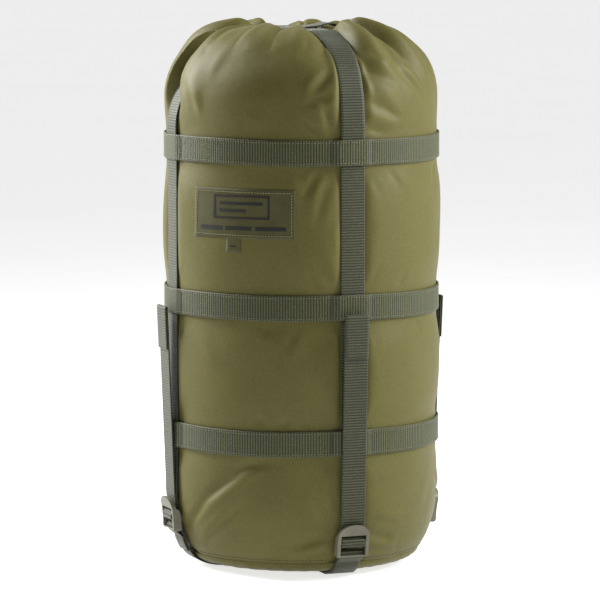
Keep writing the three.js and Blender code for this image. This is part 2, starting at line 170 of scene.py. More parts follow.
class Nodes:
    """Builds a material's nodes."""

    def __init__(self, name, roughness, sheen=0.0, specular=0.5):
        self.material = bpy.data.materials.new(name)
        self.material.use_nodes = True
        self.tree = self.material.node_tree
        self.shader = self.tree.nodes["Principled BSDF"]
        set_inputs(self.shader, Roughness=roughness, Specular_IOR_Level=specular)
        set_inputs(self.shader, Sheen_Weight=sheen, Sheen_Roughness=0.4)

    def link(self, a, b):
        self.tree.links.new(a, b)

    def new(self, kind, **values):
        node = self.tree.nodes.new(kind)
        for key, value in values.items():
            setattr(node, key, value)
        return node

    def feed(self, value, socket):
        """Links a socket to another one, or gives it a constant."""
        if isinstance(value, bpy.types.NodeSocket):
            self.link(value, socket)
        else:
            socket.default_value = value

    def math(self, operation, *values):
        node = self.new("ShaderNodeMath", operation=operation)
        for value, socket in zip(values, node.inputs):
            self.feed(value, socket)
        return node.outputs[0]

    def times(self, a, b):
        return self.math("MULTIPLY", a, b)

    def uv(self):
        """The UV map holds millimetres: across a piece, and along it."""
        parts = self.new("ShaderNodeSeparateXYZ")
        self.link(self.new("ShaderNodeUVMap", uv_map="UVMap").outputs[0], parts.inputs[0])
        return parts.outputs[0], parts.outputs[1]

    def noise(self, scale, detail=3.0, roughness=0.6):
        node = self.new("ShaderNodeTexNoise")
        set_inputs(node, Scale=scale, Detail=detail, Roughness=roughness)
        self.link(self.new("ShaderNodeTexCoord").outputs["Object"], node.inputs["Vector"])
        return node.outputs["Fac"]

    def cloud(self, scale, detail=3.0, roughness=0.6):
        """Noise stretched to run from 0 to 1."""
        return self.ramp(self.noise(scale, detail, roughness), 0.3, 0.7)

    def weave(self, pitch):
        """The threads of a plain weave, from 0 to 1."""
        waves = [self.math("SINE", self.times(way, 2 * math.pi / pitch)) for way in self.uv()]
        return self.math("MULTIPLY_ADD", self.times(*waves), 0.5, 0.5)

    def mix(self, factor, a, b):
        """A blend of two colours."""
        node = self.new("ShaderNodeMix", data_type="RGBA")
        self.feed(factor, node.inputs["Factor"])
        self.feed(a, node.inputs[6])
        self.feed(b, node.inputs[7])
        return node.outputs[2]

    def ramp(self, value, low, high):
        node = self.new("ShaderNodeMapRange")
        set_inputs(node, From_Min=low, From_Max=high)
        self.link(value, node.inputs["Value"])
        return node.outputs[0]

    def finish(self, color, height=None, strength=0.4, distance=0.2):
        """Joins the colour and a bump whose height is a share of a distance in millimetres."""
        self.link(color, self.shader.inputs["Base Color"])
        if height is not None:
            bump = self.new("ShaderNodeBump")
            set_inputs(bump, Strength=strength, Distance=distance * MM)
            self.link(height, bump.inputs["Height"])
            self.link(bump.outputs[0], self.shader.inputs["Normal"])
        return self.material


def fabric_material():
    """Coated plain-weave nylon: fine threads both ways, a soft sheen and slightly uneven colour."""
    n = Nodes("sack_fabric", 0.52, sheen=0.04, specular=0.15)
    weave = n.weave(2.1)
    grain = n.cloud(430, 3, 0.8)
    tone = n.mix(n.cloud(22, 4), srgb(83, 79, 38), srgb(91, 87, 44))
    grained = n.mix(n.times(grain, 0.6), tone, srgb(106, 101, 56))
    color = n.mix(n.times(weave, 0.4), grained, srgb(54, 51, 22))
    height = n.math("ADD", n.times(weave, 0.5), n.times(grain, 0.8))
    return n.finish(color, height, strength=0.45, distance=0.22)


def webbing_material(name, shade_and_dark_tone, light, painted_glint):
    """Ribbed webbing: ribs straight across fine warp columns, with painted shade in the gaps between ribs,
    painted light on their crowns and painted highlights as pale spots on the crowns.
    """
    n = Nodes(name, 0.55, sheen=0.16, specular=0.3)
    u, v = n.uv()
    rib_wave = n.math("COSINE", n.times(v, 2 * math.pi / RIB))
    crown = n.math("MULTIPLY_ADD", rib_wave, 0.5, 0.5)
    gap = n.math("ABSOLUTE", n.math("SINE", n.times(u, math.pi / COLUMN)))
    height = n.times(crown, n.math("POWER", gap, 0.35))
    # painted highlights: pale spots on the crowns of the ribs, where light glints off the threads
    glint_spots = n.ramp(n.noise(1100, 2), 0.45, 0.7)
    # painted shade and light: dark in the gaps between the ribs, light on their crowns
    base = n.mix(height, shade_and_dark_tone, light)
    with_painted_glints = n.mix(n.times(glint_spots, n.times(crown, 0.45)), base, painted_glint)
    # darker patches at random: the webbing's own uneven tone
    color = n.mix(n.times(n.cloud(30), 0.12), with_painted_glints, shade_and_dark_tone)
    return n.finish(color, height, strength=0.5, distance=0.25)


def plastic_material(name, low, high, roughness):
    """Moulded plastic with a fine grain, a little rubbed."""
    n = Nodes(name, roughness, specular=0.45)
    cloud = n.cloud(60)
    rubbed = n.math("MULTIPLY_ADD", cloud, 0.12, roughness - 0.06)
    n.link(rubbed, n.shader.inputs["Roughness"])
    return n.finish(n.mix(cloud, low, high), n.noise(1500, 2), strength=0.15, distance=0.05)


def thread_material(name, low, high):
    """Twisted sewing thread."""
    n = Nodes(name, 0.7, sheen=0.3)
    twist = n.noise(2500, 2)
    return n.finish(n.mix(n.ramp(twist, 0.3, 0.7), low, high), twist, strength=0.3, distance=0.05)


def label_material():
    """A fine, closely woven patch."""
    n = Nodes("label_cloth", 0.7, sheen=0.05, specular=0.2)
    weave = n.weave(1.3)
    tone = n.mix(n.cloud(50), srgb(66, 64, 36), srgb(76, 74, 44))
    return n.finish(n.mix(n.times(weave, 0.2), tone, srgb(40, 38, 20)), weave, 0.3, 0.15)


def cord_material():
    """Braided cord, with slanting strands."""
    n = Nodes("braided_cord", 0.8, sheen=0.3)
    wave = n.new("ShaderNodeTexWave", wave_type="BANDS", bands_direction="DIAGONAL")
    set_inputs(wave, Scale=350, Distortion=1.5)
    n.link(n.new("ShaderNodeTexCoord").outputs["Object"], wave.inputs["Vector"])
    height = wave.outputs["Fac"]
    return n.finish(n.mix(height, srgb(40, 41, 28), srgb(72, 73, 52)), height, 0.5, 0.2)


def steel_material():
    """Drawn spring wire."""
    n = Nodes("spring_steel", 0.3)
    set_inputs(n.shader, Metallic=1)
    cloud = n.cloud(200)
    return n.finish(n.mix(cloud, srgb(150, 152, 155), srgb(196, 198, 200)), cloud, 0.1, 0.02)


FABRIC = fabric_material()
# Each webbing's colours: painted shade in the rib gaps, painted light on the crowns, and painted highlight
# spots
STRAP = webbing_material("strap_webbing", srgb(24, 26, 15), srgb(66, 69, 44), srgb(108, 110, 78))
BAND = webbing_material("band_webbing", srgb(28, 31, 16), srgb(76, 79, 45), srgb(126, 128, 86))
LOCK_PLASTIC = plastic_material("ladder_lock_plastic", srgb(88, 86, 70), srgb(102, 100, 82), 0.42)
CORD_LOCK = plastic_material("cord_lock_plastic", srgb(68, 70, 52), srgb(82, 84, 64), 0.4)
THREAD_DARK = thread_material("thread_olive", srgb(30, 30, 16), srgb(50, 50, 28))
THREAD_LIGHT = thread_material("thread_light", srgb(112, 109, 70), srgb(146, 143, 100))
THREAD_BAND = thread_material("thread_band", srgb(74, 75, 46), srgb(104, 104, 70))
LABEL = label_material()
PRINT = plastic_material("label_print", srgb(16, 15, 13), srgb(26, 25, 22), 0.8)
CORD = cord_material()
STEEL = steel_material()

# ---- Mesh helpers ----


def make_object(name, points_mm, faces, material, uv_mm=None, smooth=True):
    """An object from points in millimetres. uv_mm gives each point's place on the cloth."""
    mesh = bpy.data.meshes.new(name)
    mesh.from_pydata((np.asarray(points_mm).reshape(-1, 3) * MM).tolist(), [], faces)
    if uv_mm is not None:
        layer = mesh.uv_layers.new(name="UVMap")
        at = np.zeros(len(mesh.loops), int)
        mesh.loops.foreach_get("vertex_index", at)
        layer.data.foreach_set("uv", np.asarray(uv_mm, float).reshape(-1, 2)[at].astype(np.float32).ravel())
    mesh.materials.append(material)
    mesh.polygons.foreach_set("use_smooth", [smooth] * len(mesh.polygons))
    mesh.update()
    made = bpy.data.objects.new(name, mesh)
    bpy.context.scene.collection.objects.link(made)
    return made


def grid_faces(rows, columns, wrap_columns=False, wrap_rows=False):
    """Quads between the points of a grid, row after row."""
    faces = []
    for i in range(rows if wrap_rows else rows - 1):
        here, there = i * columns, (i + 1) % rows * columns
        for j in range(columns if wrap_columns else columns - 1):
            k = (j + 1) % columns
            faces.append((here + j, here + k, there + k, there + j))
    return faces


def tube_faces(rows, columns):
    """A grid closed round its columns, with a face over each end."""
    ends = [tuple(range(columns))[::-1], tuple((rows - 1) * columns + j for j in range(columns))]
    return grid_faces(rows, columns, wrap_columns=True) + ends


def stacked(*parts):
    """Points from arrays of their coordinates."""
    return np.stack(np.broadcast_arrays(*parts), -1)


def around_axis(radians, r, z):
    """Points at angles round the sack's axis, at a distance from it and a height."""
    return stacked(r * np.sin(radians), -r * np.cos(radians), z)


def thicken(piece, thickness, offset):
    """Gives cloth its thickness, outwards with an offset of 1 and inwards with -1."""
    modifier = piece.modifiers.new("thickness", "SOLIDIFY")
    modifier.thickness = thickness * MM
    modifier.offset = offset


def unit_tangents(line):
    t = np.gradient(line, axis=0)
    return t / np.linalg.norm(t, axis=1)[:, None]


def degrees_from(azimuth, centre):
    """How far an azimuth is past another one, between -180 and 180."""
    return (azimuth - centre + 180) % 360 - 180


def degrees_from_strap(azimuth):
    return np.abs((azimuth + 45) % 90 - 45)


def resample(path, step):
    """A smooth line through a path's points, in even steps, and how far along it each step is."""
    p = np.asarray(path, float)
    p = np.concatenate([[2 * p[0] - p[1]], p, [2 * p[-1] - p[-2]]])
    t = np.linspace(0, 1, 16, endpoint=False)[:, None]
    line = []
    for a, b, c, d in zip(p, p[1:], p[2:], p[3:]):
        curve = 2 * b + (c - a) * t + (2 * a - 5 * b + 4 * c - d) * t**2
        line.append(0.5 * (curve + (3 * b - a - 3 * c + d) * t**3))
    line = np.concatenate(line + [p[-2:-1]])
    gone = np.concatenate([[0], np.cumsum(np.linalg.norm(np.diff(line, axis=0), axis=1))])
    at = np.linspace(0, gone[-1], max(2, round(gone[-1] / step) + 1))
    return np.stack([np.interp(at, gone, line[:, k]) for k in range(p.shape[1])], 1), at


def smoothstep(x, low, high):
    """0 below low, 1 above high, and a smooth rise between them."""
    t = np.clip((np.asarray(x, float) - low) / (high - low), 0, 1)
    return t * t * (3 - 2 * t)


# ---- The sack's outer surface, as the CAD has it ----


def wall_radius(z):
    t = min(max((z - SEAM_Z) / (WALL_FULL_Z - SEAM_Z), 0), 1)
    return SEAM_R + (SACK_R - SEAM_R) * math.sqrt(1 - (1 - t) ** 2)


def dome_height(r):
    return DOME_Z + DOME_H * max(1 - (r / SACK_R) ** DOME_POWER, 0) ** (1 / DOME_POWER)


def dome_arc(steps=10):
    """Points of the dome from its shoulder to its crest."""
    points = []
    for i in range(1, steps + 1):
        a = i / steps * math.pi / 2
        r = CREST_R + (SACK_R - CREST_R) * math.cos(a) ** 0.75
        points.append((r, dome_height(r)))
    return points


# ---- Webbing ----
FRONT_POINTS, BACK_POINTS = 23, 9
RIB_HEIGHT = 0.14
BAND_RINGS = 1050
BAND_OFF = 0.35  # a band's gap to the fabric
BAND_STEP = 2.25  # and how much further out it runs over a strap


def webbing_section():
    """Across a webbing, once round: the distance from its middle line, and its face: 1, -1 or 0."""
    half = WEB_W / 2 - 0.35
    section = [(a, 1) for a in np.linspace(-half, half, FRONT_POINTS)]
    section += [(WEB_W / 2, 0.4), (WEB_W / 2, -0.4)]
    section += [(a, -1) for a in np.linspace(half, -half, BACK_POINTS)]
    section += [(-WEB_W / 2, -0.4), (-WEB_W / 2, 0.4)]
    return np.array(section)


def woven(section, along):
    """How far each point of each ring stands out from the webbing's mean face, and from its edge."""
    a, face = section[:, 0][None], section[:, 1][None]
    crown = np.cos(2 * math.pi * along[:, None] / RIB)
    full = np.abs(face) > 0.9
    height = np.where(full, RIB_HEIGHT * crown - 0.06, 0)
    edge = np.where(full, 0, 0.12 * crown)
    return face * (WEB_T / 2) + np.sign(face) * height, a + np.sign(a) * edge


def webbing_piece(name, path, azimuth, phase=0.0, hug=0.0):
    """Webbing along a path of [out, up] at an azimuth. hug bends it across its width, to a radius."""
    line, gone = resample(path, RIB / 3)
    tangent = unit_tangents(line)
    section = webbing_section()
    out, side = woven(section, gone + phase)
    r = line[:, :1] + tangent[:, 1:] * out
    z = line[:, 1:] - tangent[:, :1] * out
    if hug:
        drop = side**2 / (2 * hug)
        r = r - drop * tangent[:, 1:]
        z = z + drop * tangent[:, :1]
    d, e = np.array(toward(azimuth)), np.array(across(azimuth))
    points = r[..., None] * d + side[..., None] * e + z[..., None] * np.array([0, 0, 1.0])
    uv = stacked(section[:, 0][None], (gone + phase)[:, None])
    faces = tube_faces(len(line), len(section))
    piece = make_object(name, points, faces, STRAP, uv)
    return piece


def band_radius(angle):
    """The middle of a band's thickness: it steps out over the four straps."""
    arc = np.radians(degrees_from_strap(angle)) * SACK_R
    return SACK_R + BAND_OFF + WEB_T / 2 + BAND_STEP * (1 - smoothstep(arc, 13.4, 23))


def band_level(z, wobble):
    """A band's height at an angle: it wanders up and down a little, as sewn webbing does."""

    def level(angle):
        slow, quick = np.sin(np.radians(angle * 2 + wobble)), np.sin(np.radians(angle * 5 + 3 * wobble))
        return z + 0.5 * slow + 0.3 * quick

    return level


def band_piece(name, level):
    """A band round the sack."""
    angle = np.linspace(0, 360, BAND_RINGS, endpoint=False)
    section = webbing_section()
    # a whole number of ribs goes round
    along = angle / 360 * round(2 * math.pi * SACK_R / RIB) * RIB
    out, side = woven(section, along)
    radius = band_radius(angle)[:, None] + out
    points = around_axis(np.radians(angle)[:, None], radius, level(angle)[:, None] - side)
    uv = stacked(section[:, 0][None], along[:, None])
    faces = grid_faces(BAND_RINGS, len(section), wrap_columns=True, wrap_rows=True)
    piece = make_object(name, points, faces, BAND, uv)
    return piece


# ---- Ladder lock's own frame: out from the webbing, and up from the anchor bar ----


def anchor_of(side):
    """A lock's anchor bar: how far out and how high it is, and how far the lock leans out."""
    z = ANCHOR_Z + SIDES[side][1]
    span = 40
    lean = math.atan((wall_radius(z + span) - wall_radius(z)) / span)
    return wall_radius(z) + ANCHOR_OFF, z, lean


def place(side, w, v):
    """The [out, up] of a place that is w out from the anchor bar and v up the lock."""
    r, z, lean = anchor_of(side)
    return (
        r + w * math.cos(lean) + v * math.sin(lean),
        z - w * math.sin(lean) + v * math.cos(lean),
    )


# A strap's way through its lock, down the back of it and up again in front.
LOOP = [
    (LOAD_W, LOCK_EXIT), (LOAD_W, 27), (LOAD_W, 20), (-2.5, 14), (-1.6, 9.8), (0.6, 7.6), (3.2, 7.5),
    (5.2, 9.2), (5.5, 12), (4.2, 14.8), (1.6, 16.6), (-0.3, 18.4), (TAIL_W, 21), (TAIL_W, 28),
    (TAIL_W, LOCK_EXIT),
]


def tail_line(side):
    """The straight run of a tail, from the lock to its top."""
    return place(side, TAIL_W, LOCK_EXIT), (TAIL_TOP_R, TAIL_TOP_Z - 1)


def tail_point(side, z):
    """A tail's place at a height."""
    (r0, z0), (r1, z1) = tail_line(side)
    return (r0 + (r1 - r0) * (z - z0) / (z1 - z0), z)


def lower_strap(side):
    """From under the lower band, down through the lock and back up to the tail's foot."""
    r, z = place(side, LOAD_W, LOCK_EXIT)
    leave = WALL_LOW - 12
    down = [(STRAP_R, WALL_LOW), (STRAP_R, leave), (STRAP_R + (r - STRAP_R) * 0.5, z + (leave - z) * 0.5)]
    loop = [place(side, w, v) for w, v in LOOP]
    up = [tail_point(side, loop[-1][1] + 12), tail_point(side, TAIL_SPLIT_Z)]
    piece = webbing_piece("lower_strap_" + side, down + loop + up, SIDES[side][0])
    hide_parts("load_strap_lower_" + side, "strap_loop_" + side)
    return piece


def tail(side):
    """The free end, folded out and sewn back on itself so that it can't slip through the lock."""
    foot, top = np.array(tail_line(side))
    along = (top - foot) / np.linalg.norm(top - foot)
    outward = np.array([along[1], -along[0]])
    turn = (WEB_T + 0.25) / 2
    path = [tail_point(side, z) for z in (TAIL_SPLIT_Z, 150, 200, 240)]
    path.append(top - along * 5)
    for i in range(7):
        a = i / 6 * math.pi
        path.append(top + along * turn * 1.3 * math.sin(a) + outward * turn * (1 - math.cos(a)))
    for back in (6, 18, 30, TAIL_FOLD):
        path.append(top - along * back + outward * 2 * turn)
    piece = webbing_piece("webbing_tail_" + side, path, SIDES[side][0], phase=5 * RIB)
    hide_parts("strap_tail_" + side)
    return piece


def base_half(side):
    """The base webbing's path on one side: up the wall, over the anchor bar, and sewn back."""
    z = anchor_of(side)[1]
    climb = [(BASE_FLAT_R - 4, WEB_T / 2), (92, 1.4), (101, 2.9), (107.5, 4.8), (113, 7.3)]
    wall = [(wall_radius(up), up) for up in np.arange(12, z - 7, 3.5)]
    climb += offset(wall, 1.4)
    turn = BAR_R + GAP + WEB_T / 2
    loop = []
    for i in range(7):
        a = math.radians(156 - 26 * i)
        loop.append(place(side, turn * math.cos(a), turn * math.sin(a)))
    run = offset(climb, LAYER - 0.1)[::-1]
    return climb + loop + [place(side, 2.2, -3.4)] + run[:5]


def offset(path, distance):
    """A path moved out to its right, seen along it."""
    p = np.asarray(path, float)
    t = unit_tangents(p)
    return [tuple(x) for x in p + np.stack([t[:, 1], -t[:, 0]], 1) * distance]


def base_webbing(name, side, opposite, crossing):
    """A webbing under the base, from one side's lock to the opposite one's."""
    near, far = base_half(side), base_half(opposite)
    path = [(-r, z) for r, z in far[::-1]] + [(r, WEB_T / 2 + lift) for r, lift in crossing] + near
    piece = webbing_piece("webbing_" + name, path, SIDES[side][0])
    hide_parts(name)
    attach(piece, "sack")
    return piece


def top_half(azimuth, lift):
    """Half of a strap over the top, from under the upper band to the middle."""
    path = [(STRAP_R, WALL_HIGH), (STRAP_R, DOME_Z - 6)]
    for r, z in dome_arc():
        lean = math.atan((dome_height(r - 0.1) - dome_height(min(r + 0.1, SACK_R))) / 0.2)
        clear = GAP + WEB_T / 2 + 0.4 - float(strap_press(azimuth, z, r))
        path.append((r + clear * math.sin(lean), z + clear * math.cos(lean)))
    level = path[-1][1]
    return path + [(r, level + lift(r)) for r in (52, 40, 27, 13.5, 0)]


def top_strap(name, azimuth, lift_plus, lift_minus):
    """A strap over the top, which each lift raises on its own side, by the distance from the axis."""
    plus = top_half(azimuth, lift_plus)
    minus = [(-r, z) for r, z in top_half(azimuth - 180, lift_minus)][::-1]
    piece = webbing_piece("webbing_" + name, (plus + minus[1:])[::-1], azimuth)
    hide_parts(name)
    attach(piece, "top")
    return piece


# ---- Fabric: a tube gathered at the mouth, pressed by the bands and straps, then simulated ----
AROUND = 240
RING_STEP = 3.6
HEM_ROWS = 8
SLACK_AROUND = 1.025  # unstretched, the cloth is this much larger round than the shape it starts in
SIM_FRAMES = 18
MOST_MOVED = 6.0
CLOTH = {
    "quality": 4, "mass": 0.01, "air_damping": 1.5, "tension_stiffness": 8, "compression_stiffness": 5,
    "shear_stiffness": 3, "bending_stiffness": 0.15, "tension_damping": 2, "compression_damping": 2,
    "shear_damping": 2, "use_pressure": True, "uniform_pressure_force": 12, "pin_stiffness": 1,
}
# Gathers of the top: azimuth, depth, half width, the height where each starts, and its slant.
GATHERS = [
    (-84, 7, 6, 440, 3), (-67, 4.2, 5.5, 478, -9), (-55, 2.6, 7, 500, -5), (-41, 3.4, 6.5, 504, 4),
    (-24, 3, 8, 500, 6), (-8, 4, 5, 486, -4), (9, 5.4, 4.6, 452, 1), (21, 3.4, 6, 490, 9),
    (34, 4.8, 4.6, 462, 10), (50, 4.2, 4.6, 470, 9), (66, 3.4, 6, 486, 5), (81, 5, 5, 450, 3),
    (100, 4.6, 5.5, 448, -4), (118, 3.4, 7, 482, 6), (139, 4.6, 6, 466, -8), (158, 3.6, 6, 480, -4),
    (171, 4.8, 5, 450, 2), (190, 4.6, 5, 452, -3), (211, 3.6, 7, 478, 7), (232, 4.4, 6, 464, -7),
    (253, 4.6, 5.5, 446, 4),
]
MOUTH_PLEATS = 23
# Soft creases: azimuth and height of both ends, depth, half width, and the side its ridge is on.
CREASES = [
    (-12, 431, -20, 452, 1.6, 3.2, 1), (-9, 436, -12, 470, 1.5, 4, -1), (-10.5, 496, -17, 480, 2.6, 4.5, 1),
    (-9, 476, -19, 470, 2.2, 4, -1), (7.5, 500, 22, 486, 3.2, 6.5, -1), (8, 470, 24, 452, 2.8, 6.5, 1),
    (7, 444, 17, 437, 1.8, 4.5, 1), (26, 498, 41, 470, 2.4, 4.5, -1), (-70, 452, -76, 478, 1.8, 5.5, 1),
    (-47, 434, -44, 462, 0.9, 4, 1), (-25, 410, -19, 385, 1.3, 5, 1), (-14, 408, -20, 378, 1.5, 4, -1),
    (-11, 388, -15, 348, 1.1, 5, 1), (-12, 350, -9, 316, 0.9, 5, -1), (-20, 340, -14, 300, 0.7, 8, 1),
    (-13, 284, -18, 302, 1.5, 3, 1), (-36, 255, -33, 236, 1.1, 4, 1), (-24, 256, -28, 222, 1.2, 5, -1),
    (-16, 230, -12, 190, 0.8, 7, 1), (-62, 240, -54, 205, 0.9, 6, 1), (22, 284, 27, 300, 1.1, 4, 1),
    (33, 258, 38, 236, 1, 5, -1), (55, 410, 50, 380, 1.2, 5, 1), (17, 406, 23, 384, 1.3, 4.5, -1),
    (58, 300, 54, 336, 0.9, 6, 1), (-30, 149, -27, 163, 1.5, 3.4, 1), (-21, 149, -20, 160, 1.2, 3.2, -1),
    (-40, 150, -38, 166, 1.1, 4, 1), (-78, 56, -42, 118, 2.6, 5.5, 1), (-79, 46, -66, 70, 2.4, 4.5, -1),
    (-68, 32, -46, 76, 1.6, 5, -1), (-55, 108, -26, 121, 1, 4, 1), (-18, 100, -11, 48, 1.2, 5, 1),
    (-10, 44, -27, 32, 2.2, 5.5, -1), (-9, 30, -18, 24, 1.6, 3.5, 1), (9, 44, 24, 34, 1.8, 5, 1),
    (8, 58, 24, 50, 1.2, 4.5, -1), (10, 28, 26, 22, 1.4, 4, 1), (52, 100, 44, 60, 1, 7, 1),
    (81, 52, 60, 84, 1.8, 5.5, 1), (98, 50, 122, 82, 1.8, 5.5, -1), (112, 410, 118, 376, 1.3, 5, 1),
    (140, 288, 146, 318, 1.2, 6, -1), (163, 406, 158, 372, 1.3, 5, 1), (196, 404, 203, 376, 1.4, 5, -1),
    (222, 300, 216, 340, 1, 7, 1), (248, 410, 242, 384, 1.2, 5, 1), (236, 256, 242, 226, 1.1, 5, 1),
    (170, 48, 150, 84, 1.8, 5.5, 1), (190, 46, 214, 80, 1.9, 5.5, -1), (256, 50, 236, 88, 2, 5.5, 1),
    (128, 254, 134, 228, 1.1, 5, -1), (205, 150, 209, 168, 1.2, 3.6, 1), (150, 150, 146, 166, 1.2, 3.6, -1),
]


def meridian():
    """The fabric's outline from the base seam up, over the dome and into the mouth."""
    wall = [SEAM, (121.2, 19), (125.4, 25.5), (129.2, 35.5), (132.3, 48), (134.4, 64), (135.2, 84)]
    wall += [(HELD_R, WALL_LOW + up) for up in (-12, 0, 19)]
    for low, high in ((WALL_LOW, BAND_Z["middle"]), (BAND_Z["middle"], WALL_HIGH)):
        for share in (0.3, 0.5, 0.7):
            wall.append((FREE_R + BULGE * math.sin(math.pi * share), low + (high - low) * share))
        wall += [(HELD_R, high + up) for up in (-19, 0, 13)]
    dome = [(r - 0.2, z) for r, z in dome_arc(steps=12)]
    dip = [(54, 533), (46, 527), (38, 519.5), (32, 513)]
    hem = [
        (HEM_R + 3.4, HEM_Z + 0.5), (HEM_R + 2.4, HEM_Z + 3.2), (HEM_R, HEM_Z + 4.3),
        (HEM_R - 2.6, HEM_Z + 3.2), (HEM_R - 4, HEM_Z), (HEM_R - 3.4, HEM_Z - 4),
    ]
    line, gone = resample(wall + dome + dip + hem, RING_STEP)
    for z in (WALL_LOW, WALL_HIGH):
        line[np.argmin(np.abs(line[:, 1] - z)), 1] = z
    return line, gone


def gather_depth(azimuth, z, inside):
    """How far the gathers of the top push the fabric in."""
    depth = np.zeros(np.broadcast(azimuth, z).shape)
    crown = smoothstep(z, 500, 535)
    for at, deep, half, start, slant in GATHERS:
        rise = smoothstep(z, start, 532) + inside
        centre = at + slant * (1 - np.clip((z - start) / 80, 0, 1)) * (1 - inside)
        width = half * (1 + 0.7 * inside + 0.5 * smoothstep(z, 500, 540))
        share = np.abs(degrees_from(azimuth, centre)) / width
        valley = np.exp(-share * 1.7)
        shoulder = 0.5 * np.exp(-((share - 1.6) ** 2) * 1.6)
        depth += (1.4 + 0.9 * crown) * deep * np.clip(rise, 0, 1) * (valley - shoulder)
    pleat = np.cos(np.radians(azimuth * MOUTH_PLEATS) + 0.9 * np.sin(np.radians(azimuth * 3)))
    return depth * (1 - 0.4 * inside) + 1.7 * inside * pleat


def crease_depth(azimuth, r, gone, climb_of):
    """How far the soft creases push the fabric in, each a valley with a ridge beside it."""
    depth = np.zeros(np.broadcast(azimuth, gone).shape)
    for a0, z0, a1, z1, deep, half, ridge in CREASES:
        g0, g1 = climb_of(z0), climb_of(z1)
        x = np.radians(degrees_from(azimuth, a0)) * r
        y = gone - g0
        dx = math.radians(a1 - a0) * SACK_R
        dy = g1 - g0
        length = math.hypot(dx, dy)
        along = (x * dx + y * dy) / length
        off = (x * dy - y * dx) / length
        end = np.maximum(np.maximum(-along, along - length), 0)
        near = np.exp(-((end / half) ** 2)) * (0.35 + 0.65 * np.sin(np.pi * np.clip(along / length, 0, 1)))
        valley = np.exp(-((off / half) ** 2))
        shoulder = 0.6 * np.exp(-((off / half - 1.7 * ridge) ** 2))
        depth += 1.4 * deep * near * (valley - shoulder)
    return depth


def strap_press(azimuth, z, r):
    """How far the straps over the top pull down into the fabric."""
    left = np.abs(degrees_from(azimuth, -90)) < 20
    return np.where(left, 9.5, 3.4) * smoothstep(z, 446, 490) * smoothstep(r, 34, 84)


# Fabric that leans over a strap on the top: the strap's azimuth, the side it is on, and how far.
OVERHANGS = [
    (-90, 1, 13), (-90, -1, 7), (0, -1, 3.4), (0, 1, 2), (90, 1, 4), (90, -1, 4), (180, 1, 4), (180, -1, 4),
]


def overhang(azimuth, z, r):
    """How far the top's fabric leans sideways over the straps, as an angle."""
    shift = 0
    for at, side, far in OVERHANGS:
        arc = side * np.radians(degrees_from(azimuth, at)) * r
        near = smoothstep(arc, 8, 19) * (1 - smoothstep(arc, 22, 52))
        shift = shift - side * far * near * smoothstep(z, 462, 496) / r
    return shift * smoothstep(r, 50, 80)


def fabric_grid():
    """Where the fabric starts, where it is held, its place on the cloth, and its outline."""
    line, gone = meridian()
    rows = len(line)
    azimuth = np.linspace(0, 360, AROUND, endpoint=False)[None]
    r, z = line[:, :1], line[:, 1:]
    tangent = unit_tangents(line)
    crest = int(np.argmax(line[:, 1]))
    index = np.arange(rows)[:, None]
    inside = np.clip((index - crest) / max(rows - HEM_ROWS - crest, 1), 0, 1) * (index > crest)
    arc = np.radians(degrees_from_strap(azimuth)) * np.clip(r, 20, None)
    up_wall = index <= crest
    under_strap = (1 - smoothstep(arc, 12.2, 16.5)) * (index <= crest + 6)

    def climb_of(height):
        return float(np.interp(height, line[: crest + 1, 1], gone[: crest + 1]))

    # nothing stands out near a band, because the fabric gathers under it when the sack is compressed
    off_in, off_out = np.ones((rows, 1)), np.ones((rows, 1))
    for centre in BAND_Z.values():
        off_in = off_in * smoothstep(np.abs(z - centre), 12.8, 21)
        off_out = off_out * smoothstep(np.abs(z - centre), 16, 34)
    depth = np.where(index >= crest - 70, gather_depth(azimuth, z, inside), 0) * smoothstep(z, 434, 452)
    depth = depth + crease_depth(azimuth, r, gone[:, None], climb_of) * up_wall
    a = np.radians(azimuth)
    wave = np.sin(3 * a + z / 31 + 1.3 * np.sin(z / 47)) * np.sin(z / 37 - 2 * a)
    wave = wave + 0.7 * np.sin(7 * a - z / 23)
    depth = depth + 0.55 * wave * smoothstep(z, 20, 60) * up_wall
    depth = np.where(depth > 0, depth * off_in, depth * off_out) * (1 - under_strap)
    # the filling stands up on both sides of each strap, and the strap lies in the groove
    swell = smoothstep(arc, 12.4, 16.5) * np.exp(-np.clip(arc - 16.5, 0, None) / 26)
    high = 1.9 + 2.4 * smoothstep(z, 446, 486)
    depth = depth - high * swell * off_out * up_wall * smoothstep(z, 26, 60) * smoothstep(r, 64, 100)
    depth = depth + np.clip(r - FREE_R, 0, None) * (1 - smoothstep(arc, 13.0, 17.5)) * (z < DOME_Z)
    depth = depth + strap_press(azimuth, z, r) * (1 - smoothstep(arc, 12.6, 17.5)) * up_wall
    depth = depth + (1 - smoothstep(z, 20, 60)) * (1 - smoothstep(arc, 9, 22)) * 1.6
    depth = depth - 4.6 * smoothstep(z, 512, 536) * smoothstep(arc, 12, 24) * (1 - 0.8 * inside)
    rr = r - depth * tangent[:, 1:]
    zz = z + depth * tangent[:, :1]
    a = a + overhang(azimuth, z, r) * up_wall
    start = around_axis(a, rr, zz)
    # the straps, the seam and the hem hold it, and so do the bands
    held = (arc < 12.6) & (index <= crest + 3) & (z > 75)
    held = held | (arc < 12.2) & (z < 24) & (index < crest)
    held = held | (index == 0) | (index >= rows - HEM_ROWS)
    for centre in BAND_Z.values():
        held = held | (np.abs(z - centre) < 12.6)
    uv = stacked(np.radians(azimuth) * SACK_R, gone[:, None])
    return start, held, uv, line


